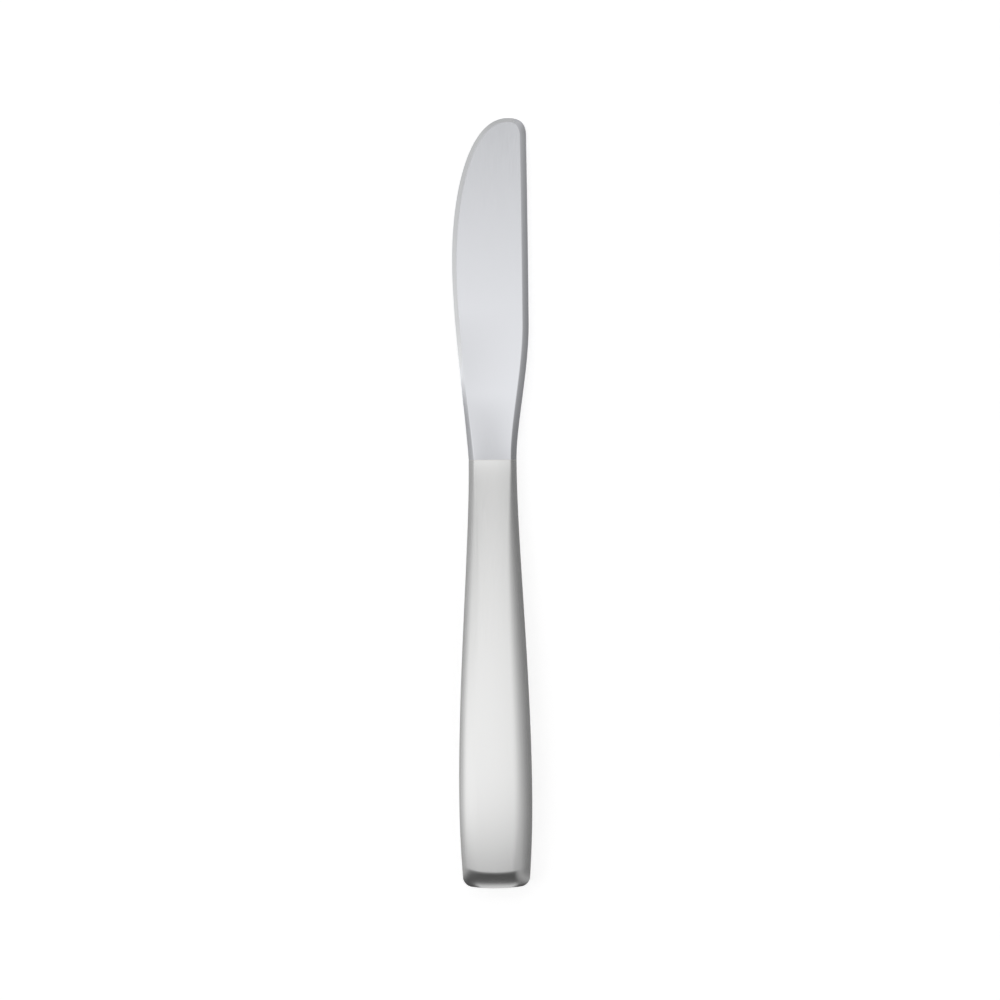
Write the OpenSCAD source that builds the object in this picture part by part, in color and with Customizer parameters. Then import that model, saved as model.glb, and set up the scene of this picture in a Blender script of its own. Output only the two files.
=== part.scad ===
// Hollow-handled dinner knife, lying on its side as it lies on a table.
// The blade is one forging with a notched tang. Two pressed shells, brazed rim to rim, make the handle,
// and cast cement locks the tang inside them.
// +Y runs to the tip, +X to the spine and +Z up. The origin is under the middle of the knife's box.

/* [Blade outline] */
// Length from the shoulder to the tip
blade_length = 104.6; // [98:0.2:112]
// Distance from the handle's axis to the spine, where it is furthest out
spine_reach = 11.4; // [10.4:0.1:12.4]
// Distance from the handle's axis to the spine, where the nose begins
nose_reach = 11.15; // [10:0.05:12]
// Length over which the spine swells out from the neck
spine_swell = 42; // [34:1:50]
// Distance from the handle's axis to the belly of the cutting edge
belly_reach = 11.85; // [10.9:0.05:12.9]
// Distance from the shoulder to the belly
belly_station = 60; // [52:1:66]
// Distance from the handle's axis to the tip, towards the spine
tip_offset = 5.5; // [3:0.1:7]
// Length of the rounded corner between the spine and the tip
nose_length = 5.5; // [4:0.1:8]

/* [Blade section] */
// Thickness along the spine, past the flare
spine_thickness = 2.8; // [2.4:0.1:3.2]
// Thickness of the spine at the tip
tip_thickness = 2.2; // [1.6:0.1:2.4]
// Thickness of the flat that is left along the spine
spine_flat = 0.5; // [0.3:0.05:0.8]
// Width of the bevel between the blade's face and that flat
spine_bevel = 1.95; // [1.6:0.05:2.3]
// Thickness on top of the cutting bevel
bevel_thickness = 0.8; // [0.6:0.1:1.2]
// Thickness on top of the bevel at the shoulder, where the bevel runs out
choil_thickness = 2.4; // [1.6:0.1:2.6]
// Thickness of the blunt cutting edge
edge_thickness = 0.3; // [0.2:0.05:0.5]
// Width of the cutting bevel
bevel_width = 1.4; // [1:0.1:2]
// Length over which the root flares up to the handle's section
flare_length = 20; // [14:1:30]
// Length over which the bevel grows from the shoulder
choil_length = 46; // [38:1:54]

/* [Tang] */
// Length of the tang behind the shoulder
tang_length = 62; // [50:1:75]
// Width of the tang at the shoulder
tang_width = 7.6; // [6.4:0.2:8]
// Width of the tang at its end
tang_end_width = 5; // [4:0.2:6]
// Thickness of the tang
tang_thickness = 1.7; // [1.5:0.1:1.8]
// Number of notches along each side of the tang
notch_count = 4; // [2:1:6]
// Radius of the half-round notches
notch_radius = 1.1; // [0.7:0.1:1.4]
// Distance from the mouth's wall to the first notch, and from the last notch to the tang's end
notch_margin = 8; // [5:0.5:12]

/* [Handle] */
// Length of the handle
handle_length = 130.2; // [120:0.2:142]
// Width of the neck, where handle and blade meet
neck_width = 14.6; // [13.6:0.1:16]
// Width of the handle at its widest
handle_width = 22.2; // [20:0.1:25]
// Distance from the mouth to the widest place
widest_station = 102; // [92:1:110]
// Width of the handle at its end, before the corners are rounded
butt_width = 20.1; // [18:0.1:22]
// Thickness of the neck
neck_thickness = 3.9; // [3.7:0.1:4.6]
// Thickness of the handle at its thickest
handle_thickness = 8.8; // [8:0.1:9.8]
// Distance from the mouth to the thickest place
thickest_station = 92; // [80:1:100]
// Thickness of the handle at its end, before the end is rounded over
butt_thickness = 6; // [5.4:0.1:6.8]
// Width of the rounding along the sides, at the neck
neck_roll = 1.8; // [1.5:0.1:2.1]
// Width of the rounding along the sides, where the handle is thickest
handle_roll = 5.4; // [4.6:0.1:6]
// Angle at which the roundings come down on the upright sides and the upright end
roll_angle = 33; // [28:1:36]
// Height of the crown that runs across the top
crown = 0.4; // [0.2:0.05:0.45]
// Length of the rounding over the end
butt_rounding = 4.2; // [3.5:0.1:6]
// Radius of the two corners at the end, seen from above
corner_radius = 2.4; // [2:0.1:3.4]
// Height of the curve across the end
end_crown = 1; // [0:0.1:2.5]
// Depth of the flat on which the handle rests
rest_depth = 0.05; // [0.03:0.01:0.1]

/* [Construction] */
// Wall of the shells
wall = 0.7; // [0.6:0.05:0.75]
// Wall that closes the mouth of the shells round the tang
mouth_wall = 1.2; // [0.8:0.1:2]
// Thickness of the braze between the shells
seam_thickness = 0.16; // [0.08:0.02:0.3]
// Thickness of the braze between shoulder and mouth
neck_braze_thickness = 0.15; // [0.08:0.01:0.3]
// Clearance round the tang in the mouth
tang_clearance = 0.15; // [0.05:0.05:0.2]

/* [Hidden] */

$fn = 48;

// Steps along the blade, across its rim and across its face
blade_steps = 38;
rim_steps = 5;
face_steps = 4;
// Steps along the handle, over its end and round half its section
handle_steps = 22;
end_steps = 7;
section_steps = 18;

polished_steel = [0.83, 0.84, 0.86];
satin_steel = [0.86, 0.86, 0.85];
braze_metal = [0.83, 0.81, 0.76];
cement_grey = [0.62, 0.60, 0.56];

half_seam = seam_thickness / 2;
spine_end = blade_length - nose_length;
end_station = handle_length - butt_rounding;

// Share of its run over which a swell holds the direction in which it starts
lead_in = 0.26;
// Shares of the run over which the swells of edge, spine and handle settle level
edge_settle = 0.3;
spine_settle = 0.35;
handle_settle = 0.37;
// The same shares for the handle's thickness, which rises early and settles late
depth_lead = 0.1;
depth_settle = 0.6;
// Slope at which the cutting edge leaves the neck
edge_slope = 0.065;
// How full the curves into the tip are, from the belly and round the nose: shares of their run and reach
belly_hold = 0.48;
belly_sweep = 0.7;
nose_hold = 0.7;
nose_sweep = 0.7;
// How fast the flare dies away from the shoulder
flare_power = 2;
// How round the roundings are, at the spine and the neck and along the handle: 1 is a plain chamfer
neck_roundness = 1.12;
handle_roundness = 2;
// Share of the outside's upright side that the cavity has
cavity_side = 0.5;
// How far a cut or a root reaches past the face that it goes through
overlap = 1;

// Curves are cubics through [station, value] points, whose stations rise along the curve

// From one point to another, level at the far end, leaving the near end at a slope
function swell(from, to, settle, slope = 0, lead_share = lead_in) =
    let (run = to[0] - from[0], lead = lead_share * run)
    [from, from + [lead, slope * lead], [to[0] - settle * run, to[1]], to];

// A parabola that leaves its first point level
function fall(from, to) =
    let (run = to[0] - from[0])
    [from, [from[0] + run / 3, from[1]], [from[0] + run * 2 / 3, from[1] + (to[1] - from[1]) / 3], to];

// Leaves its first point level and turns square across at the last one
function turn(from, to, hold, sweep) =
    [from, [from[0] + hold * (to[0] - from[0]), from[1]], [to[0], to[1] + sweep * (from[1] - to[1])], to];

function curve_point(c, t) =
    let (s = 1 - t)
    s * s * s * c[0] + 3 * s * s * t * c[1] + 3 * s * t * t * c[2] + t * t * t * c[3];

function curve_heading(c, t) =
    let (s = 1 - t)
    s * s * (c[1] - c[0]) + 2 * s * t * (c[2] - c[1]) + t * t * (c[3] - c[2]);

// The parameter at which a curve reaches a station, by halving
function at_station(c, station, low = 0, high = 1, halvings = 30) =
    let (middle = (low + high) / 2)
    halvings == 0 ? middle
    : curve_point(c, middle)[0] < station ? at_station(c, station, middle, high, halvings - 1)
    : at_station(c, station, low, middle, halvings - 1);

// The curve of a chain that covers a station
function curve_at(chain, station) =
    let (open = [for (c = chain) if (station < c[3][0]) c])
    len(open) > 0 ? open[0] : chain[len(chain) - 1];

function value_at(chain, station) =
    let (c = curve_at(chain, station))
    curve_point(c, at_station(c, station))[1];

function ease(t) = let (u = min(1, max(0, t))) u * u * (3 - 2 * u);
function blend(a, b, share) = a + (b - a) * share;

// Distances from the axis to the cutting edge and to the spine, by station ahead of the shoulder
edge_chain = [
    swell([0, neck_width / 2], [belly_station, belly_reach], edge_settle, edge_slope),
    turn([belly_station, belly_reach], [blade_length, -tip_offset], belly_hold, belly_sweep)
];
spine_chain = [
    swell([0, neck_width / 2], [spine_swell, spine_reach], spine_settle),
    fall([spine_swell, spine_reach], [spine_end, nose_reach]),
    turn([spine_end, nose_reach], [blade_length, tip_offset], nose_hold, nose_sweep)
];

// A value that grows from the neck to the thickest place, and one that then stays
function deepening(neck, thickest) =
    swell([0, neck], [thickest_station, thickest], depth_settle, 0, depth_lead);
function staying(neck, thickest) =
    [deepening(neck, thickest), fall([thickest_station, thickest], [handle_length, thickest])];

// Half the handle's width and thickness, and the width and shape of the rounding, by station behind the mouth
width_chain = [
    swell([0, neck_width / 2], [widest_station, handle_width / 2], handle_settle),
    fall([widest_station, handle_width / 2], [handle_length, butt_width / 2])
];
depth_chain = [
    deepening(neck_thickness / 2, handle_thickness / 2),
    fall([thickest_station, handle_thickness / 2], [handle_length, butt_thickness / 2])
];
roll_chain = staying(neck_roll, handle_roll);
roundness_chain = staying(neck_roundness, handle_roundness);

// Half the height of the upright sides
function half_side_at(station) =
    let (drop = tan(roll_angle) * value_at(roll_chain, station) / value_at(roundness_chain, station))
    value_at(depth_chain, station) - crown - drop;

// Height of a crowned top, of which a rounding takes a share off, down to the upright side
function crowned(share, half_depth, half_side, taken) =
    half_depth - crown * share * share - (half_depth - crown - half_side) * taken;

// Height of the handle's section: an upright side, a rounding along it and a crown between the roundings
function section(share, half_width, half_depth, half_side, roll, roundness) =
    let (into_roll = max(0, 1 - (1 - abs(share)) * half_width / roll))
    crowned(share, half_depth, half_side, pow(into_roll, roundness));

// Blade: its outline runs up the cutting edge, over the tip and down the spine, and a rim of a few rows
// follows it inside. Rungs across the blade then join the two sides of the rim.

last_turn = 2 * blade_steps;

function rung_station(rung) = blade_length * sin(90 * rung / blade_steps);

// Share of the mouth's section that is left at a station
function root_share(station) = pow(max(0, 1 - station / flare_length), flare_power);
// How far the outline has turned from the spine to the tip
function nose_share(station, reach) =
    station > spine_end ? ease((nose_reach - reach) / (nose_reach - tip_offset)) : 0;

// The wedge that the blade is ground to: half its thickness at a place
function wedge(x, y) =
    let (
        low = blend(choil_thickness, bevel_thickness, ease(y / choil_length)),
        high = blend(spine_thickness, tip_thickness, y / blade_length)
    )
    blend(low, high, (x + belly_reach) / (belly_reach + spine_reach)) / 2;

// The same where the root has the handle's section
function root_height(x, y, taken) =
    let (
        edge = -value_at(edge_chain, y),
        spine = value_at(spine_chain, y),
        share = (2 * x - edge - spine) / (spine - edge)
    )
    crowned(share, neck_thickness / 2, half_side_at(0), taken);

// Half the blade's thickness, of which the rim takes a share off, down to its low side
function blade_height(x, y, low = 0, taken = 0) =
    let (ground = blend(wedge(x, y), low, taken), root = root_share(y))
    root > 0 ? blend(ground, root_height(x, y, taken), root) : ground;

// A point of the rim: turn counts along the outline, row counts inwards
function rim_point(turn, row) =
    let (
        side = turn < blade_steps ? -1 : 1,
        station = rung_station(min(turn, last_turn - turn)),
        chain = side < 0 ? edge_chain : spine_chain,
        c = curve_at(chain, station),
        t = at_station(c, station),
        place = curve_point(c, t),
        heading = curve_heading(c, t) / norm(curve_heading(c, t)),
        nose = side < 0 ? 1 : nose_share(station, place[1]),
        width = blend(blend(spine_bevel, bevel_width, nose), neck_roll, root_share(station)),
        bevelled = side < 0 ? ease(station / choil_length) : nose,
        depth = row / rim_steps,
        taken = blend(pow(1 - depth, neck_roundness), 1 - depth, bevelled),
        x = side * (place[1] - heading[0] * width * depth),
        y = place[0] + heading[1] * width * depth * (1 - root_share(station)),
        low = blend(spine_flat, edge_thickness, nose) / 2
    )
    [x, y, blade_height(x, y, low, taken)];

function face_point(rung, column) =
    let (
        edge = rim_point(rung, rim_steps),
        spine = rim_point(last_turn - rung, rim_steps),
        place = blend(edge, spine, column / face_steps)
    )
    [place[0], place[1], blade_height(place[0], place[1])];

blade_top = concat(
    [for (turn = [0 : last_turn], row = [0 : rim_steps]) rim_point(turn, row)],
    [for (rung = [0 : blade_steps - 1], column = [1 : face_steps - 1]) face_point(rung, column)]
);
top_count = len(blade_top);
face_start = (last_turn + 1) * (rim_steps + 1);

function rim_index(turn, row) = turn * (rim_steps + 1) + row;
function rung_index(rung, column) =
    column == 0 ? rim_index(rung, rim_steps)
    : column == face_steps ? rim_index(last_turn - rung, rim_steps)
    : face_start + rung * (face_steps - 1) + column - 1;

function quad(a, b, c, d) = [[a, b, c], [a, c, d]];
function flipped(faces) = [for (f = faces) [f[2], f[1], f[0]]];
function shifted(faces, count) = [for (f = faces) [for (i = f) i + count]];
function mirrored(points) = [for (p = points) [p[0], p[1], -p[2]]];

blade_top_faces = [
    for (turn = [0 : last_turn - 1], row = [0 : rim_steps - 1])
        each quad(rim_index(turn, row), rim_index(turn + 1, row),
                  rim_index(turn + 1, row + 1), rim_index(turn, row + 1)),
    for (rung = [0 : blade_steps - 2], column = [0 : face_steps - 1])
        each quad(rung_index(rung, column), rung_index(rung + 1, column),
                  rung_index(rung + 1, column + 1), rung_index(rung, column + 1)),
    for (column = [0 : face_steps - 1])
        [rung_index(blade_steps - 1, column), rim_index(blade_steps, rim_steps),
         rung_index(blade_steps - 1, column + 1)]
];
blade_edge_faces = [
    for (turn = [0 : last_turn - 1])
        each quad(rim_index(turn, 0), rim_index(turn, 0) + top_count,
                  rim_index(turn + 1, 0) + top_count, rim_index(turn + 1, 0))
];
root_row = concat(
    [for (row = [0 : rim_steps - 1]) rim_index(0, row)],
    [for (column = [0 : face_steps]) rung_index(0, column)],
    [for (row = [rim_steps - 1 : -1 : 0]) rim_index(last_turn, row)]
);
root_face = concat(root_row, [for (i = [len(root_row) - 1 : -1 : 0]) root_row[i] + top_count]);

module ground_blade() {
    blade_bottom_faces = flipped(shifted(blade_top_faces, top_count));
    polyhedron(
        points = concat(blade_top, mirrored(blade_top)),
        faces = concat(blade_top_faces, blade_bottom_faces, blade_edge_faces, [root_face])
    );
}

// The knife lies on its handle and on the nose of its blade: the steepest line that clears the blade's
// inner rim and still meets the handle
rest_points = [for (turn = [0 : last_turn]) rim_point(turn, rim_steps)];
rest_slope = max([
    for (i = [0 : handle_steps])
        let (station = end_station * i / handle_steps, depth = value_at(depth_chain, station) - rest_depth)
        min([for (p = rest_points) (depth - p[2]) / (p[1] + neck_braze_thickness + station)])
]);
rest_tilt = atan(rest_slope);
lift = max([for (p = rest_points) p[1] * sin(rest_tilt) + p[2] * cos(rest_tilt)]);
middle_x = (max(spine_reach, handle_width / 2) - belly_reach) / 2;
middle_y = (blade_length - neck_braze_thickness - handle_length) / 2;

// From the knife's own frame, with the shoulder's middle at zero, to the frame in which it lies on the table
module lay_down() {
    translate([-middle_x, -middle_y, lift]) rotate([-rest_tilt, 0, 0]) children();
}

// Tang: a flat tapered bar with half-round notches along both sides
first_notch = neck_braze_thickness + mouth_wall + notch_margin;
last_notch = tang_length - notch_margin;

function tang_half_width(station) = blend(tang_width, tang_end_width, station / tang_length) / 2;

module tang() {
    end_radius = tang_end_width / 2;
    shoulder = tang_half_width(0);
    linear_extrude(tang_thickness, center = true) difference() {
        union() {
            polygon([
                [-shoulder, overlap], [shoulder, overlap],
                [shoulder, 0], [end_radius, end_radius - tang_length],
                [-end_radius, end_radius - tang_length], [-shoulder, 0]
            ]);
            translate([0, end_radius - tang_length]) circle(end_radius);
        }
        for (i = [0 : notch_count - 1], side = [-1, 1]) {
            station = blend(first_notch, last_notch, i / (notch_count - 1));
            translate([side * tang_half_width(station), -station]) circle(notch_radius);
        }
    }
}

// Opening for the tang in the mouth of the handle
module tang_slot() {
    depth = neck_braze_thickness + mouth_wall;
    translate([0, -depth / 2, 0])
        cube([tang_width, depth + overlap, tang_thickness] + [2 * tang_clearance, 0, 2 * tang_clearance],
             center = true);
}

// Handle: rows of points over its crowned top, from the mouth to the end. Upright sides and an upright
// end join the top to its mirror image below. Outer skin and cavity are one form at different insets.

last_row = handle_steps + end_steps;

function skin_point(row, column, inset, mouth) =
    let (
        station = row <= handle_steps ? blend(mouth, end_station, row / handle_steps)
                  : blend(end_station, handle_length - inset, sin(90 * (row - handle_steps) / end_steps)),
        corner = corner_radius - inset,
        into_corner = max(0, station - handle_length + corner_radius),
        half_width = value_at(width_chain, station) - inset
                     - corner + sqrt(max(0, corner * corner - into_corner * into_corner)),
        half_depth = value_at(depth_chain, station) - inset,
        half_side = half_side_at(station) * (inset > 0 ? cavity_side : 1),
        share = cos(180 * column / section_steps),
        height = section(share, half_width, half_depth, half_side,
                         value_at(roll_chain, station), value_at(roundness_chain, station)),
        into_end = max(0, station + inset - end_station) / butt_rounding,
        end_roundness = tan(roll_angle) * butt_rounding / (half_depth - half_side),
        x = half_width * share,
        bow = end_crown * ease((station - widest_station) / (handle_length - widest_station)),
        across = 2 * x / butt_width
    )
    [x, bow * across * across - station - neck_braze_thickness,
     blend(height, half_side, pow(into_end, end_roundness))];

function skin(inset, mouth) =
    [for (row = [0 : last_row], column = [0 : section_steps]) skin_point(row, column, inset, mouth)];

outer_skin = skin(0, 0);
cavity_skin = skin(wall, mouth_wall);
skin_count = len(outer_skin);

function skin_index(row, column) = row * (section_steps + 1) + column;

skin_faces = [
    for (row = [0 : last_row - 1], column = [0 : section_steps - 1])
        each quad(skin_index(row, column), skin_index(row + 1, column),
                  skin_index(row + 1, column + 1), skin_index(row, column + 1))
];
// Indices along the open rim of a skin: down one side, across the end and up the other side
rim_path = concat(
    [for (row = [0 : last_row]) skin_index(row, 0)],
    [for (column = [1 : section_steps]) skin_index(last_row, column)],
    [for (row = [last_row - 1 : -1 : 0]) skin_index(row, section_steps)]
);
rim_count = len(rim_path);
mouth_row = [for (column = [0 : section_steps]) skin_index(0, column)];

function outline(points) = [for (i = rim_path) [points[i][0], points[i][1]]];

// The solid inside a skin and its mirror image below
module closed_form(upper) {
    edge_faces = [
        for (i = [0 : rim_count - 2])
            each quad(rim_path[i + 1], rim_path[i], rim_path[i] + skin_count, rim_path[i + 1] + skin_count)
    ];
    mouth_face = concat(mouth_row, [for (i = [section_steps : -1 : 0]) mouth_row[i] + skin_count]);
    polyhedron(
        points = concat(upper, mirrored(upper)),
        faces = concat(skin_faces, flipped(shifted(skin_faces, skin_count)), edge_faces, [mouth_face])
    );
}

// Everything below the rim of the upper shell
module lower_half() {
    translate([0, -neck_braze_thickness - handle_length / 2, half_seam - handle_thickness])
        cube([handle_width + overlap, handle_length + overlap, 2 * handle_thickness], center = true);
}

module handle_shell() {
    difference() {
        closed_form(outer_skin);
        closed_form(cavity_skin);
        lower_half();
        tang_slot();
    }
}

module blade() {
    color(polished_steel) lay_down() union() {
        ground_blade();
        tang();
    }
}

module upper_handle_shell() {
    color(satin_steel) lay_down() handle_shell();
}

// The lower shell is cut flat where it rests
module lower_handle_shell() {
    color(satin_steel) difference() {
        lay_down() mirror([0, 0, 1]) handle_shell();
        translate([0, -middle_y - handle_length / 2, -handle_thickness / 2])
            cube([handle_width + overlap, handle_length + overlap, handle_thickness], center = true);
    }
}

module seam_braze() {
    color(braze_metal) lay_down() difference() {
        linear_extrude(seam_thickness, center = true) difference() {
            polygon(outline(outer_skin));
            polygon(outline(cavity_skin));
        }
        tang_slot();
    }
}

module neck_braze() {
    upper = [for (i = mouth_row) [outer_skin[i][0], outer_skin[i][2]]];
    lower = [for (i = [section_steps : -1 : 0]) [upper[i][0], -upper[i][1]]];
    color(braze_metal) lay_down() difference() {
        rotate([90, 0, 0]) linear_extrude(neck_braze_thickness) polygon(concat(upper, lower));
        tang_slot();
    }
}

module handle_cement() {
    color(cement_grey) lay_down() difference() {
        closed_form(cavity_skin);
        tang();
    }
}

blade();
upper_handle_shell();
lower_handle_shell();
seam_braze();
neck_braze();
handle_cement();
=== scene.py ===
"""Looks of a hollow-handled dinner knife that lies on its side on a pale table.

Lengths are millimetres in the knife's own frame: the middle of the shoulder is the origin, +Y runs to
the tip, +X to the spine, and the mid-plane is z = 0. lay_down() takes points to the frame of the solids,
in metres.
"""

import math

import bmesh
import bpy
import numpy as np
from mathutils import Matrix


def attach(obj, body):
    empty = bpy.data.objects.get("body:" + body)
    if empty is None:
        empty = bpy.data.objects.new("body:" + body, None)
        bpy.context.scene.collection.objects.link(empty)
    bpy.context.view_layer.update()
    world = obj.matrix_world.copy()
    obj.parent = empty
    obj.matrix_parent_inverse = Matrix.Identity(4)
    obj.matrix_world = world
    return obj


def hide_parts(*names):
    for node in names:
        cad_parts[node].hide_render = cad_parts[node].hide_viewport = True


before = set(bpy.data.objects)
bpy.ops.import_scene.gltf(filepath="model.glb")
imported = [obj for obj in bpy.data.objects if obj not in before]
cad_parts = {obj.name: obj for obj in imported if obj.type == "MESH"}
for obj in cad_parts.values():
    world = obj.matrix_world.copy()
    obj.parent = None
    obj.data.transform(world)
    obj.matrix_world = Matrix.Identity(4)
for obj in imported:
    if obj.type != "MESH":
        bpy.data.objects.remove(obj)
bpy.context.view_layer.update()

MM = 0.001

# Blade outline, by station ahead of the shoulder
BLADE_LENGTH = 104.6
SPINE_REACH = 11.4
NOSE_REACH = 11.15
SPINE_SWELL = 42
BELLY_REACH = 11.85
BELLY_STATION = 60
TIP_OFFSET = 5.5
NOSE_LENGTH = 5.5
SPINE_END = BLADE_LENGTH - NOSE_LENGTH

# Blade section
SPINE_THICKNESS = 2.8
TIP_THICKNESS = 2.2
SPINE_FLAT = 0.5
SPINE_BEVEL = 1.95
BEVEL_THICKNESS = 0.8
CHOIL_THICKNESS = 2.4
EDGE_THICKNESS = 0.3
BEVEL_WIDTH = 1.4
FLARE_LENGTH = 20
FLARE_POWER = 2
CHOIL_LENGTH = 46
LEAST_WIDTH = 1e-6

# Tang
TANG_LENGTH = 62
TANG_WIDTH = 7.6
TANG_END_WIDTH = 5
TANG_THICKNESS = 1.7
TANG_TIP = 0.05
NOTCH_COUNT = 4
NOTCH_RADIUS = 1.1
NOTCH_MARGIN = 8

# Handle, by station behind the mouth
HANDLE_LENGTH = 130.2
NECK_WIDTH = 14.6
HANDLE_WIDTH = 22.2
WIDEST_STATION = 102
BUTT_WIDTH = 20.1
NECK_THICKNESS = 3.9
HANDLE_THICKNESS = 8.8
THICKEST_STATION = 92
BUTT_THICKNESS = 6
NECK_ROLL = 1.8
HANDLE_ROLL = 5.4
ROLL_ANGLE = math.radians(33)
CROWN = 0.4
BUTT_ROUNDING = 4.2
CORNER_RADIUS = 2.4
END_CROWN = 1.0
NECK_ROUNDNESS = 1.12
HANDLE_ROUNDNESS = 2
CAVITY_SIDE = 0.5
SHOULDER = 0.2
REST_DEPTH = 0.05

# How much earlier the rounding of the handle's end starts, in its middle and at its corners, and the power
# with which that grows from the middle
END_LEAD = 0.7
CORNER_LEAD = 2.3
CORNER_POWER = 4

# Construction
WALL = 0.7
MOUTH_WALL = 1.2
SEAM_THICKNESS = 0.16
NECK_BRAZE = 0.15
TANG_CLEARANCE = 0.15
HALF_SEAM = SEAM_THICKNESS / 2

# How the curves of the outline start and settle: shares of their run and of their reach
LEAD_IN = 0.26
EDGE_SETTLE = 0.3
SPINE_SETTLE = 0.35
HANDLE_SETTLE = 0.37
DEPTH_LEAD = 0.1
DEPTH_SETTLE = 0.6
EDGE_SLOPE = 0.065
BELLY_HOLD = 0.48
BELLY_SWEEP = 0.7
NOSE_HOLD = 0.7
NOSE_SWEEP = 0.7

# Fineness of the meshes
CURVE_SAMPLES = 4000
BLADE_STEPS = 180
RIM_STEPS = 10
FACE_STEPS = 24
HANDLE_STEPS = 130
END_STEPS = 28
SECTION_STEPS = 48
TANG_STEPS = 150
SHARP_ANGLE = math.radians(50)

# The photograph: what its width shows, what its middle falls on and how the knife is turned in it
PHOTO_WIDTH = 305.2
PHOTO_MIDDLE = (2.36, 0.64)
PHOTO_TURN = math.radians(-0.542)
LENS = 100
SENSOR = 36

# Finish of the steel: the streaks' share beside the clouds, and how far the ground bevel lowers both
STREAK_SHARE = 0.65
GROUND_SHARE = 0.8
CLOUD_SCALE = (90, 30, 90)
CLOUD_SEED = 4.0
STREAK_BUMP = 0.15
BRUSH_SPREAD = 0.2

# Grain of the braze and the cement
GRAIN_BUMP = 0.3
GRAIN_DEPTH = 0.1

# The table, in metres, with what it gives off to the eye and its grey
FLOOR_REACH = 12.0
FLOOR_GAP = 0.00002
FLOOR_GLOW = 0.54
FLOOR_TONE = 0.8

# The sky's full level, and how far its bands lean ahead on the left
SKY_LEVEL = 1.37
SKY_LEAN = 1.15
LEAN_LIMIT = 0.35
LEAN_BASE = 0.04
# White near the horizon, which reaches higher past the handle's end
HORIZON = [(0.13, 1.0), (0.2, 0.0)]
BEHIND_START = 0.5
BEHIND_RISE = 0.38
# The sky from left to right and from past the handle's end to past the tip, as (place, level) stops
SKY_ACROSS = [(0.017, 0.35), (0.047, 0.5), (0.106, 0.94), (0.14, 1.0), (0.5, 1.0), (0.957, 0.2)]
SKY_ALONG = [(0.18, 0.08), (0.345, 0.18), (0.443, 1.03), (0.505, 1.03), (0.54, 0.88), (0.556, 0.9),
             (0.604, 0.5), (0.7, 0.59), (0.88, 0.64), (1.0, 0.5)]
# How much of the change along the knife is seen from left to right
SKY_WINDOW = [(0.05, 0.5), (0.12, 1.0), (0.625, 1.0), (0.8, 0.3)]


def swell(start, end, settle, slope=0.0, lead_share=LEAD_IN):
    """A cubic that leaves its first point at a slope and reaches the last one level."""
    run = end[0] - start[0]
    lead = lead_share * run
    return [start, (start[0] + lead, start[1] + slope * lead), (end[0] - settle * run, end[1]), end]


def fall(start, end):
    """A parabola that leaves its first point level."""
    run = end[0] - start[0]
    third = start[1] + (end[1] - start[1]) / 3
    return [start, (start[0] + run / 3, start[1]), (start[0] + run * 2 / 3, third), end]


def turn(start, end, hold, sweep):
    """Leaves its first point level and turns square across at the last one."""
    level = (start[0] + hold * (end[0] - start[0]), start[1])
    return [start, level, (end[0], end[1] + sweep * (start[1] - end[1])), end]


class Chain:
    """Joined cubic curves that give a value, and a heading, at each station."""

    def __init__(self, *curves):
        t = np.linspace(0, 1, CURVE_SAMPLES)[:, None]
        s = 1 - t
        points = []
        headings = []
        for a, b, c, d in np.array(curves, float):
            points.append(s**3 * a + 3 * s * s * t * b + 3 * s * t * t * c + t**3 * d)
            headings.append(s * s * (b - a) + 2 * s * t * (c - b) + t * t * (d - c))
        self.points = np.concatenate(points)
        self.headings = np.concatenate(headings)
        self.headings /= np.linalg.norm(self.headings, axis=1)[:, None]

    def value(self, station):
        return np.interp(station, self.points[:, 0], self.points[:, 1])

    def heading(self, station):
        return [np.interp(station, self.points[:, 0], self.headings[:, i]) for i in (0, 1)]


edge_line = Chain(
    swell((0, NECK_WIDTH / 2), (BELLY_STATION, BELLY_REACH), EDGE_SETTLE, EDGE_SLOPE),
    turn((BELLY_STATION, BELLY_REACH), (BLADE_LENGTH, -TIP_OFFSET), BELLY_HOLD, BELLY_SWEEP),
)
spine_line = Chain(
    swell((0, NECK_WIDTH / 2), (SPINE_SWELL, SPINE_REACH), SPINE_SETTLE),
    fall((SPINE_SWELL, SPINE_REACH), (SPINE_END, NOSE_REACH)),
    turn((SPINE_END, NOSE_REACH), (BLADE_LENGTH, TIP_OFFSET), NOSE_HOLD, NOSE_SWEEP),
)
handle_half_width = Chain(
    swell((0, NECK_WIDTH / 2), (WIDEST_STATION, HANDLE_WIDTH / 2), HANDLE_SETTLE),
    fall((WIDEST_STATION, HANDLE_WIDTH / 2), (HANDLE_LENGTH, BUTT_WIDTH / 2)),
)


def deepening(neck, thickest):
    """Grows from the neck to the thickest place, early and then ever slower."""
    return swell((0, neck), (THICKEST_STATION, thickest), DEPTH_SETTLE, 0, DEPTH_LEAD)


handle_half_depth = Chain(
    deepening(NECK_THICKNESS / 2, HANDLE_THICKNESS / 2),
    fall((THICKEST_STATION, HANDLE_THICKNESS / 2), (HANDLE_LENGTH, BUTT_THICKNESS / 2)),
)
roll_width = Chain(deepening(NECK_ROLL, HANDLE_ROLL))
roundness = Chain(deepening(NECK_ROUNDNESS, HANDLE_ROUNDNESS))


def ease(t):
    u = np.clip(t, 0, 1)
    return u * u * (3 - 2 * u)


def blend(a, b, share):
    return a + (b - a) * share


def half_side(station):
    """Half the height of the handle's upright sides."""
    drop = math.tan(ROLL_ANGLE) * roll_width.value(station) / roundness.value(station)
    return handle_half_depth.value(station) - CROWN - drop


def crowned(share, half_depth, side, taken):
    """Height of a crowned top, of which a rounding takes a share off, down to the upright side."""
    return half_depth - CROWN * share**2 - (half_depth - CROWN - side) * taken


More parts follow.
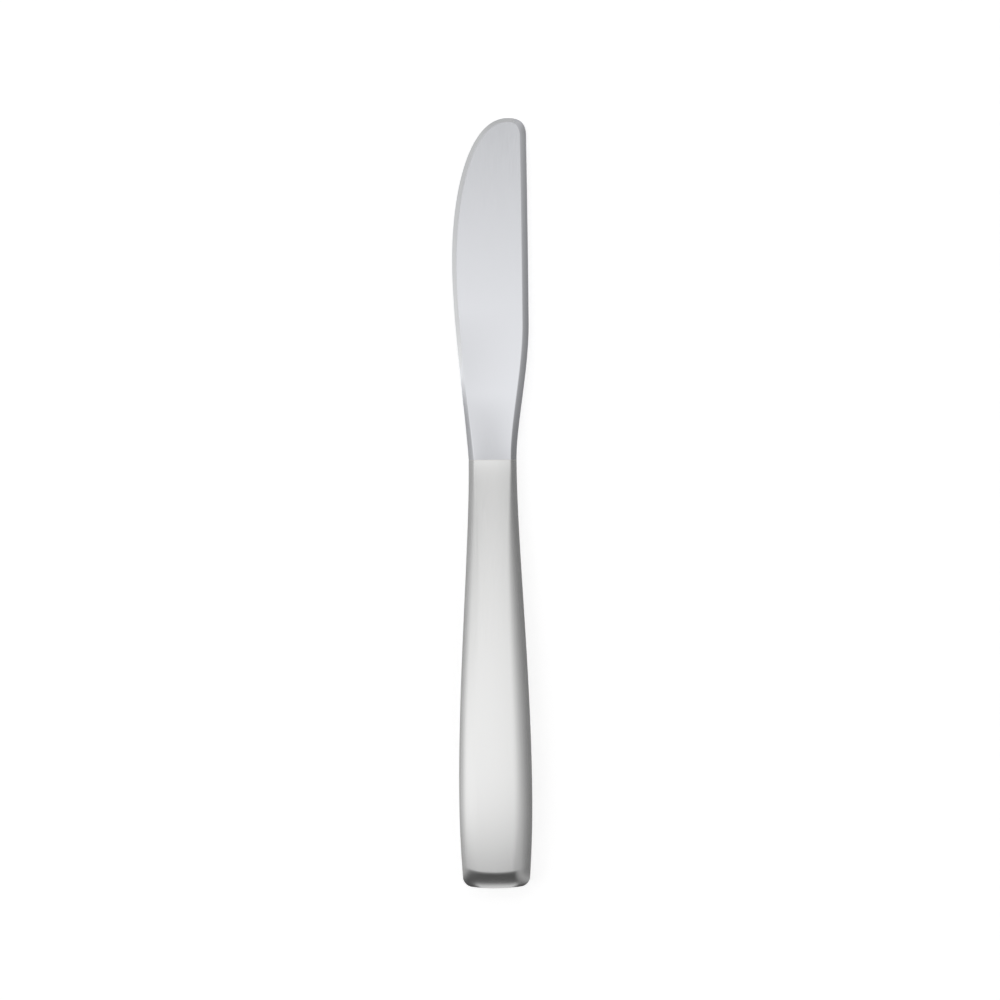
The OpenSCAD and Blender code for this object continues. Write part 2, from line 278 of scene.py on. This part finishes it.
def section(share, half_width, half_depth, side, station):
    """Height of the handle's section: an upright side, a rounding along it and a crown between them."""
    into_roll = np.clip(1 - (1 - np.abs(share)) * half_width / roll_width.value(station), 0, 1)
    return crowned(share, half_depth, side, into_roll ** roundness.value(station))


def handle_width_at(station, inset=0.0):
    """Half the width, with the two corners of the end rounded."""
    corner = CORNER_RADIUS - inset
    into_corner = np.clip(station - HANDLE_LENGTH + CORNER_RADIUS, 0, corner)
    return handle_half_width.value(station) - inset - corner + np.sqrt(corner**2 - into_corner**2)


def quads(grid):
    """Faces of a grid of vertex numbers."""
    corners = [grid[:-1, :-1], grid[1:, :-1], grid[1:, 1:], grid[:-1, 1:]]
    return np.stack([c.ravel() for c in corners], axis=1).tolist()


def outline_points():
    """Places, inward directions and sides all along the blade's outline: up the edge, down the spine."""
    rungs = BLADE_LENGTH * np.sin(np.linspace(0, math.pi / 2, BLADE_STEPS + 1))
    station = np.concatenate([rungs[:-1], rungs[::-1]])
    side = np.where(np.arange(2 * BLADE_STEPS + 1) < BLADE_STEPS, -1, 1)
    reach = np.where(side < 0, edge_line.value(station), spine_line.value(station))
    along = np.where(side < 0, edge_line.heading(station)[0], spine_line.heading(station)[0])
    outward = np.where(side < 0, edge_line.heading(station)[1], spine_line.heading(station)[1])
    return station, side, reach, along, outward


def root_share(y):
    return np.clip(1 - y / FLARE_LENGTH, 0, 1) ** FLARE_POWER


def nose_share(station, reach):
    """How far the outline has turned from the spine to the tip."""
    return np.where(station > SPINE_END, ease((NOSE_REACH - reach) / (NOSE_REACH - TIP_OFFSET)), 0)


def wedge(x, y):
    """The wedge that the blade is ground to: half its thickness."""
    low = blend(CHOIL_THICKNESS, BEVEL_THICKNESS, ease(y / CHOIL_LENGTH))
    high = blend(SPINE_THICKNESS, TIP_THICKNESS, y / BLADE_LENGTH)
    return blend(low, high, (x + BELLY_REACH) / (BELLY_REACH + SPINE_REACH)) / 2


def blade_height(x, y, low=0.0, taken=0.0):
    """Half the blade's thickness, of which the rim takes a share off, down to its low side."""
    edge = -edge_line.value(y)
    spine = spine_line.value(y)
    share = (2 * x - edge - spine) / np.maximum(spine - edge, LEAST_WIDTH)
    root = crowned(share, NECK_THICKNESS / 2, half_side(0), taken)
    return blend(blend(wedge(x, y), low, taken), root, root_share(y))


def bevel_share(station, side, reach):
    """How far the rim is the ground bevel of the cutting edge and the nose."""
    return np.where(side < 0, ease(station / CHOIL_LENGTH), nose_share(station, reach))


def blade_rim():
    """Rows of points along the blade's outline, from the outline inwards."""
    station, side, reach, along, outward = [a[:, None] for a in outline_points()]
    row = np.linspace(0, 1, RIM_STEPS + 1)[None, :]
    nose = np.where(side < 0, 1, nose_share(station, reach))
    width = blend(blend(SPINE_BEVEL, BEVEL_WIDTH, nose), NECK_ROLL, root_share(station))
    taken = blend((1 - row) ** NECK_ROUNDNESS, 1 - row, bevel_share(station, side, reach))
    x = side * (reach - along * width * row)
    y = station + outward * width * row * (1 - root_share(station))
    low = blend(SPINE_FLAT, EDGE_THICKNESS, nose) / 2
    return np.stack([x, y, blade_height(x, y, low, taken)], axis=2)


def rest_tilt(rim):
    """The angle at which the knife lies on its handle and on the nose of its blade."""
    stations = np.linspace(0, HANDLE_LENGTH - BUTT_ROUNDING, HANDLE_STEPS)[:, None]
    drop = handle_half_depth.value(stations) - REST_DEPTH - rim[:, -1, 2]
    return math.atan((drop / (rim[:, -1, 1] + NECK_BRAZE + stations)).min(axis=1).max())


def rest_lift(rim):
    """Height of the shoulder's middle above the table."""
    return (rim[:, -1, 1] * math.sin(TILT) + rim[:, -1, 2] * math.cos(TILT)).max()


TILT = rest_tilt(blade_rim())
LIFT = rest_lift(blade_rim())
MIDDLE_X = (max(SPINE_REACH, HANDLE_WIDTH / 2) - BELLY_REACH) / 2
MIDDLE_Y = (BLADE_LENGTH - NECK_BRAZE - HANDLE_LENGTH) / 2


def lay_down(points):
    """From the knife's own frame to the frame of the solids, with nothing below the table."""
    x, y, z = np.asarray(points, float).T
    laid = np.stack([
        x - MIDDLE_X,
        y * math.cos(TILT) + z * math.sin(TILT) - MIDDLE_Y,
        z * math.cos(TILT) - y * math.sin(TILT) + LIFT,
    ], axis=1)
    laid[:, 2] = np.maximum(laid[:, 2], 0)
    return laid * MM


def blade_face(rim):
    """Points across the blade between the two inner rows of the rim."""
    edge = rim[:BLADE_STEPS, -1]
    spine = rim[:BLADE_STEPS:-1, -1]
    share = (1 - np.cos(np.linspace(0, math.pi, FACE_STEPS + 1)))[None, 1:-1, None] / 2
    place = blend(edge[:, None], spine[:, None], share)
    place[:, :, 2] = blade_height(place[:, :, 0], place[:, :, 1])
    return place


def tang_half_width(station):
    """Half the tang's width, with its half-round notches and its round end."""
    half = blend(TANG_WIDTH, TANG_END_WIDTH, station / TANG_LENGTH) / 2
    first = NECK_BRAZE + MOUTH_WALL + NOTCH_MARGIN
    for notch in np.linspace(first, TANG_LENGTH - NOTCH_MARGIN, NOTCH_COUNT):
        half = half - np.sqrt(np.clip(NOTCH_RADIUS**2 - (station - notch) ** 2, 0, None))
    end = TANG_END_WIDTH / 2
    into_end = np.clip(station - TANG_LENGTH + end, 0, end)
    return half - end + np.sqrt(end**2 - into_end**2)


def flat_path(half_width, low, high, columns):
    """Points from one side over a flat top to the other side, for the upper half of a flat bar."""
    corners = np.array([(-half_width, low), (-half_width, high), (half_width, high), (half_width, low)])
    reach = np.concatenate([[0], np.cumsum(np.linalg.norm(np.diff(corners, axis=0), axis=1))])
    along = np.linspace(0, reach[-1], columns)
    return np.interp(along, reach, corners[:, 0]), np.interp(along, reach, corners[:, 1])


def tang_rows(columns):
    """Rows of points over the upper half of the tang, from the shoulder to its end."""
    rows = []
    for station in TANG_LENGTH * np.sin(np.linspace(0, math.pi / 2, TANG_STEPS + 1)):
        x, z = flat_path(max(tang_half_width(station), TANG_TIP), TANG_TIP, TANG_THICKNESS / 2, columns)
        rows.append(np.column_stack([x, np.full(columns, -station), z]))
    return np.array(rows)


def numbered(points, first=0):
    """Vertex numbers for a grid of points."""
    return first + np.arange(points.shape[0] * points.shape[1]).reshape(points.shape[:2])


def ground_points(count):
    """How far each point of the blade lies on the ground bevel. The points of the rim come first."""
    station, side, reach = outline_points()[:3]
    inside = np.arange(RIM_STEPS + 1) < RIM_STEPS
    on_rim = bevel_share(station, side, reach)[:, None] * inside
    ground = np.zeros(count)
    ground[:on_rim.size] = on_rim.ravel()
    return ground


def make_blade():
    """The ground blade with its tang, closed, and how far each point lies on the ground bevel."""
    rim = blade_rim()
    face = blade_face(rim)
    rim_index = numbered(rim)
    face_index = numbered(face, rim_index.size)
    root = np.concatenate([rim_index[0], face_index[0], rim_index[-1, ::-1]])
    tang = tang_rows(len(root))
    tang_index = numbered(tang, rim_index.size + face_index.size)
    top = np.concatenate([rim.reshape(-1, 3), face.reshape(-1, 3), tang.reshape(-1, 3)])
    count = len(top)
    rungs = np.column_stack([rim_index[:BLADE_STEPS, -1], face_index, rim_index[:BLADE_STEPS:-1, -1]])
    apex = rim_index[BLADE_STEPS, -1]
    top_faces = quads(rim_index) + quads(rungs) + quads(np.vstack([tang_index[::-1], root]))
    top_faces += [[a, apex, b] for a, b in zip(rungs[-1, :-1], rungs[-1, 1:])]
    faces = top_faces + [[i + count for i in f] for f in top_faces]
    down = np.concatenate([tang_index[::-1, 0], rim_index[:, 0], tang_index[:, -1], tang_index[-1, ::-1]])
    faces += quads(np.column_stack([down, down + count]))
    points = np.concatenate([top, top * (1, 1, -1)])
    return points, [[int(i) for i in f] for f in faces], np.tile(ground_points(count), 2)


def handle_skin(inset, mouth):
    """Rows of points from the mouth to the end, each over the upper half of the section.

    The first and last point of a row, and all of the last row, lie on the seam.
    """
    over_end = np.sin(np.linspace(0, math.pi / 2, END_STEPS + 1))[1:]
    straight = np.linspace(mouth, HANDLE_LENGTH - BUTT_ROUNDING - CORNER_LEAD, HANDLE_STEPS + 1)
    station = np.append(straight, blend(straight[-1], HANDLE_LENGTH - inset, over_end))
    half_width = handle_width_at(station, inset)[:, None]
    half_depth = handle_half_depth.value(station)[:, None] - inset
    side = half_side(station)[:, None] * (CAVITY_SIDE if inset else 1)
    share = -np.cos(np.linspace(0, math.pi, SECTION_STEPS + 1))[None, :]
    height = section(share, half_width, half_depth, side, station[:, None])
    rounding = BUTT_ROUNDING + blend(END_LEAD, CORNER_LEAD, share**CORNER_POWER)
    into_end = np.clip((station[:, None] + inset - HANDLE_LENGTH) / rounding + 1, 0, 1)
    end_roundness = math.tan(ROLL_ANGLE) * rounding / (half_depth - side)
    z = blend(height, side, into_end**end_roundness)
    x = half_width * share
    seam = np.full_like(side, HALF_SEAM)
    shoulder = side - SHOULDER
    x = np.concatenate([x[:, :1], x[:, :1], x, x[:, -1:], x[:, -1:]], axis=1)
    z = np.concatenate([seam, shoulder, z, shoulder, seam], axis=1)
    x = np.concatenate([x, x[-1:], x[-1:]])
    z = np.concatenate([z, np.minimum(z[-1:], shoulder[-1]), np.full_like(z[-1:], HALF_SEAM)])
    station = np.append(station, [station[-1]] * 2)[:, None]
    bow = END_CROWN * ease((station - WIDEST_STATION) / (HANDLE_LENGTH - WIDEST_STATION))
    y = bow * (2 * x / BUTT_WIDTH) ** 2 - station - NECK_BRAZE
    return np.stack([x, y, z], axis=2)


def slot_path(columns, station):
    """The edge of the tang's slot in the mouth of one shell, with as many points as a row of the skin."""
    half_width = TANG_WIDTH / 2 + TANG_CLEARANCE
    top = TANG_THICKNESS / 2 + TANG_CLEARANCE
    x, z = flat_path(half_width, HALF_SEAM, top, columns)
    return np.column_stack([x, np.full(columns, -station - NECK_BRAZE), z])


def make_shell():
    """The upper shell: outer skin, mouth with the tang's slot, cavity and rim."""
    outer = handle_skin(0, 0)
    cavity = handle_skin(WALL, MOUTH_WALL)
    rows, columns = outer.shape[:2]
    slots = np.stack([slot_path(columns, 0), slot_path(columns, MOUTH_WALL)])
    points = np.concatenate([outer[::-1], slots, cavity]).reshape(-1, 3)
    index = np.arange(len(points)).reshape(-1, columns)
    faces = quads(index)
    outer_index = index[:rows][::-1]
    cavity_index = index[rows + 2:]
    for side in (0, -1):
        rim = np.column_stack([outer_index[:, side], cavity_index[:, side]])
        mouth = [int(outer_index[0, side]), int(index[rows, side])]
        mouth += [int(index[rows + 1, side]), int(cavity_index[0, side])]
        faces += quads(rim) + [mouth]
    faces += quads(np.column_stack([outer_index[-1], cavity_index[-1]]))
    return points, faces


def turn_outwards(mesh):
    """Makes every face of a closed mesh look outwards."""
    shape = bmesh.new()
    shape.from_mesh(mesh)
    bmesh.ops.recalc_face_normals(shape, faces=shape.faces)
    shape.to_mesh(mesh)
    shape.free()


def make_object(name, points, faces, ground=None, mirrored=False):
    """A mesh piece, laid down in the frame of the solids."""
    points = points * (1, 1, -1) if mirrored else points
    mesh = bpy.data.meshes.new(name)
    mesh.from_pydata(lay_down(points).tolist(), [], faces)
    mesh.validate()
    turn_outwards(mesh)
    if ground is not None:
        mesh.attributes.new("ground", "FLOAT", "POINT").data.foreach_set("value", ground)
    layer = mesh.uv_layers.new(name="brush")
    corner = np.empty(len(mesh.loops), int)
    mesh.loops.foreach_get("vertex_index", corner)
    layer.data.foreach_set("uv", (points[corner][:, :2] * MM).ravel())
    mesh.shade_smooth()
    mesh.set_sharp_from_angle(angle=SHARP_ANGLE)
    obj = bpy.data.objects.new(name, mesh)
    bpy.context.scene.collection.objects.link(obj)
    return obj


class Shader:
    """A node tree under construction."""

    def __init__(self, owner):
        owner.use_nodes = True
        self.tree = owner.node_tree
        self.tree.nodes.clear()

    def add(self, kind, settings=None, **inputs):
        """Adds a node. Inputs are values or other nodes' outputs, by socket name with _ for a space."""
        node = self.tree.nodes.new(kind)
        for key, value in (settings or {}).items():
            setattr(node, key, value)
        for key, value in inputs.items():
            self.set(node, key.replace("_", " "), value)
        return node

    def set(self, node, socket, value):
        target = node.inputs[int(socket)] if socket.isdigit() else node.inputs[socket]
        if isinstance(value, bpy.types.NodeSocket):
            self.tree.links.new(value, target)
        else:
            target.default_value = value

    def math(self, operation, first, second=0.0):
        node = self.add("ShaderNodeMath", {"operation": operation})
        self.set(node, "0", first)
        self.set(node, "1", second)
        return node.outputs[0]

    def from_zero(self, value):
        """Takes the range from -1 to 1 to the range from 0 to 1."""
        return self.add("ShaderNodeMapRange", Value=value, From_Min=-1.0, From_Max=1.0).outputs[0]

    def ramp(self, value, stops, interpolation="EASE"):
        """A colour ramp from (position, grey or colour) stops."""
        node = self.add("ShaderNodeValToRGB", Fac=value)
        ramp = node.color_ramp
        ramp.interpolation = interpolation
        while len(ramp.elements) < len(stops):
            ramp.elements.new(0.5)
        for element, (position, colour) in zip(ramp.elements, stops):
            element.position = position
            element.color = (*colour, 1) if isinstance(colour, tuple) else (colour, colour, colour, 1)
        return node.outputs["Color"]

    def stretched_noise(self, scale, detail=2.0, seed=0.0):
        """Noise in the frame of the solids, with its own scale along each axis."""
        place = self.add("ShaderNodeTexCoord").outputs["Object"]
        mapped = self.add("ShaderNodeMapping", Vector=place, Scale=scale, Location=(seed, seed, seed))
        noise = self.add("ShaderNodeTexNoise", Vector=mapped.outputs[0], Scale=1.0, Detail=detail)
        return noise.outputs[0]

    def finish(self, output, surface):
        self.tree.links.new(surface, self.add(output).inputs["Surface"])


def steel(name, colours, roughs, streak_scale, streak_depth, ground_mask=False):
    """Brushed steel: fine streaks along the knife, with cloudier patches where it has been wiped.

    A ground bevel takes its colour and roughness from below the range of the streaks.
    """
    material = bpy.data.materials.new(name)
    shader = Shader(material)
    streaks = shader.stretched_noise(streak_scale, detail=3.0)
    clouds = shader.stretched_noise(CLOUD_SCALE, detail=2.0, seed=CLOUD_SEED)
    mixed = shader.math("ADD", shader.math("MULTIPLY", streaks, STREAK_SHARE),
                        shader.math("MULTIPLY", clouds, 1 - STREAK_SHARE))
    if ground_mask:
        mask = shader.add("ShaderNodeAttribute", {"attribute_name": "ground"}).outputs["Fac"]
        kept = shader.math("SUBTRACT", 1.0, shader.math("MULTIPLY", mask, GROUND_SHARE))
        mixed = shader.math("MULTIPLY", mixed, kept)
    bump = shader.add("ShaderNodeBump", Height=streaks, Strength=STREAK_BUMP, Distance=streak_depth)
    tangent = shader.add("ShaderNodeTangent", {"direction_type": "UV_MAP", "uv_map": "brush"})
    surface = shader.add("ShaderNodeBsdfPrincipled", Base_Color=shader.ramp(mixed, colours), Metallic=1.0,
                         Roughness=shader.ramp(mixed, roughs, "LINEAR"), Anisotropic=BRUSH_SPREAD,
                         Normal=bump.outputs[0], Tangent=tangent.outputs[0])
    shader.finish("ShaderNodeOutputMaterial", surface.outputs[0])
    return material


def polished_steel():
    colours = [(0.06, (0.615, 0.623, 0.631)), (0.14, (0.648, 0.656, 0.664)),
               (0.3, (0.653, 0.661, 0.688)), (0.7, (0.679, 0.687, 0.714))]
    roughs = [(0.06, 0.36), (0.14, 0.3), (0.3, 0.14), (0.7, 0.2)]
    return steel("polished_steel", colours, roughs, streak_scale=(5000, 150, 5000), streak_depth=2e-6,
                 ground_mask=True)


def satin_steel():
    colours = [(0.3, (0.626, 0.626, 0.623)), (0.7, (0.658, 0.658, 0.655))]
    roughs = [(0.3, 0.18), (0.7, 0.24)]
    return steel("satin_steel", colours, roughs, streak_scale=(3500, 60, 3500), streak_depth=4e-6)


def grainy(name, dark, light, metallic, smooth, rough, grain):
    """A plain cast surface with grain in its colour, roughness and relief."""
    material = bpy.data.materials.new(name)
    shader = Shader(material)
    noise = shader.stretched_noise((grain, grain, grain), detail=4.0)
    colour = shader.ramp(noise, [(0.35, dark), (0.65, light)])
    roughness = shader.add("ShaderNodeMapRange", Value=noise, From_Min=0.3, From_Max=0.7, To_Min=smooth,
                           To_Max=rough)
    bump = shader.add("ShaderNodeBump", Height=noise, Strength=GRAIN_BUMP, Distance=GRAIN_DEPTH / grain)
    surface = shader.add("ShaderNodeBsdfPrincipled", Base_Color=colour, Metallic=metallic,
                         Roughness=roughness.outputs[0], Normal=bump.outputs[0])
    shader.finish("ShaderNodeOutputMaterial", surface.outputs[0])
    return material


def braze():
    return grainy("braze", dark=(0.6, 0.592, 0.567), light=(0.65, 0.642, 0.617), metallic=1.0,
                  smooth=0.25, rough=0.35, grain=2500)


def cement():
    return grainy("cement", dark=(0.28, 0.26, 0.22), light=(0.36, 0.34, 0.30), metallic=0.0,
                  smooth=0.8, rough=0.95, grain=900)


def dress(piece, node, material):
    """Puts a modelled piece in the place of its solid."""
    piece.data.materials.append(material)
    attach(piece, "root")
    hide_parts(node)


def repaint(node, material):
    """Gives a solid that stays its finish."""
    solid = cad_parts[node]
    solid.data.materials.clear()
    solid.data.materials.append(material)


def make_knife():
    """The blade and the two shells in the place of their solids, and finishes for the solids that stay."""
    polished = polished_steel()
    satin = satin_steel()
    joint = braze()
    filling = cement()
    dress(make_object("blade_body", *make_blade()), "blade", polished)
    points, faces = make_shell()
    upper = make_object("upper_shell", points, faces)
    lower = make_object("lower_shell", points, faces, mirrored=True)
    dress(upper, "upper_handle_shell", satin)
    dress(lower, "lower_handle_shell", satin)
    repaint("seam_braze", joint)
    repaint("neck_braze", joint)
    repaint("handle_cement", filling)


def make_floor():
    """A pale table that reads white, keeps the knife's shadow and shows in the steel."""
    mesh = bpy.data.meshes.new("floor")
    corners = [(x * FLOOR_REACH, y * FLOOR_REACH, 0) for x, y in ((-1, -1), (1, -1), (1, 1), (-1, 1))]
    mesh.from_pydata(corners, [], [(0, 1, 2, 3)])
    floor = bpy.data.objects.new("floor", mesh)
    floor.location.z = -FLOOR_GAP
    bpy.context.scene.collection.objects.link(floor)
    material = bpy.data.materials.new("table")
    shader = Shader(material)
    path = shader.add("ShaderNodeLightPath")
    seen = shader.math("MAXIMUM", path.outputs["Is Camera Ray"], path.outputs["Is Glossy Ray"])
    seen = shader.math("MAXIMUM", seen, path.outputs["Is Transmission Ray"])
    strength = shader.math("MULTIPLY", seen, FLOOR_GLOW)
    glow = shader.add("ShaderNodeEmission", Color=(1, 1, 1, 1), Strength=strength)
    matt = shader.add("ShaderNodeBsdfDiffuse", Color=(FLOOR_TONE, FLOOR_TONE, FLOOR_TONE, 1))
    both = shader.add("ShaderNodeAddShader")
    shader.set(both, "0", glow.outputs[0])
    shader.set(both, "1", matt.outputs[0])
    shader.finish("ShaderNodeOutputMaterial", both.outputs[0])
    mesh.materials.append(material)


def make_light():
    """A soft studio dome: bright overhead and to the left, dim to the right, dark past the handle's end."""
    world = bpy.data.worlds.new("studio")
    bpy.context.scene.world = world
    shader = Shader(world)
    direction = shader.add("ShaderNodeTexCoord").outputs["Generated"]
    axes = shader.add("ShaderNodeSeparateXYZ", Vector=direction).outputs
    across = shader.from_zero(axes[0])
    left = shader.math("MAXIMUM", shader.math("MINIMUM", axes[0], 0.0), -LEAN_LIMIT)
    lean = shader.math("MULTIPLY", left, -SKY_LEAN)
    ahead = shader.math("ADD", shader.math("MAXIMUM", axes[1], 0.0), LEAN_BASE)
    along = shader.from_zero(shader.math("ADD", axes[1], shader.math("MULTIPLY", lean, ahead)))
    sides = shader.ramp(across, SKY_ACROSS, "LINEAR")
    ends = shader.ramp(along, SKY_ALONG)
    window = shader.ramp(across, SKY_WINDOW, "LINEAR")
    shade = shader.math("MULTIPLY", shader.math("SUBTRACT", 1.0, ends), window)
    lit = shader.math("SUBTRACT", SKY_LEVEL, shader.math("MULTIPLY", shade, SKY_LEVEL))
    behind = shader.math("MINIMUM", shader.math("ADD", axes[1], BEHIND_START), 0.0)
    above = shader.math("ADD", axes[2], shader.math("MULTIPLY", behind, BEHIND_RISE))
    level = shader.math("MAXIMUM", shader.math("MULTIPLY", sides, lit), shader.ramp(above, HORIZON))
    sky = shader.add("ShaderNodeBackground", Color=(1, 1, 1, 1), Strength=level)
    shader.finish("ShaderNodeOutputWorld", sky.outputs[0])


def make_camera():
    """Straight above the knife, turned as the photograph is."""
    data = bpy.data.cameras.new("camera")
    data.sensor_width = SENSOR
    data.lens = LENS
    camera = bpy.data.objects.new("camera", data)
    height = LIFT + PHOTO_WIDTH * LENS / SENSOR
    camera.location = (PHOTO_MIDDLE[0] * MM, PHOTO_MIDDLE[1] * MM, height * MM)
    camera.rotation_euler = (0, 0, PHOTO_TURN)
    bpy.context.scene.collection.objects.link(camera)
    bpy.context.scene.camera = camera
    bpy.context.scene.view_settings.view_transform = "Standard"


make_knife()
make_floor()
make_light()
make_camera()

bpy.context.view_layer.update()
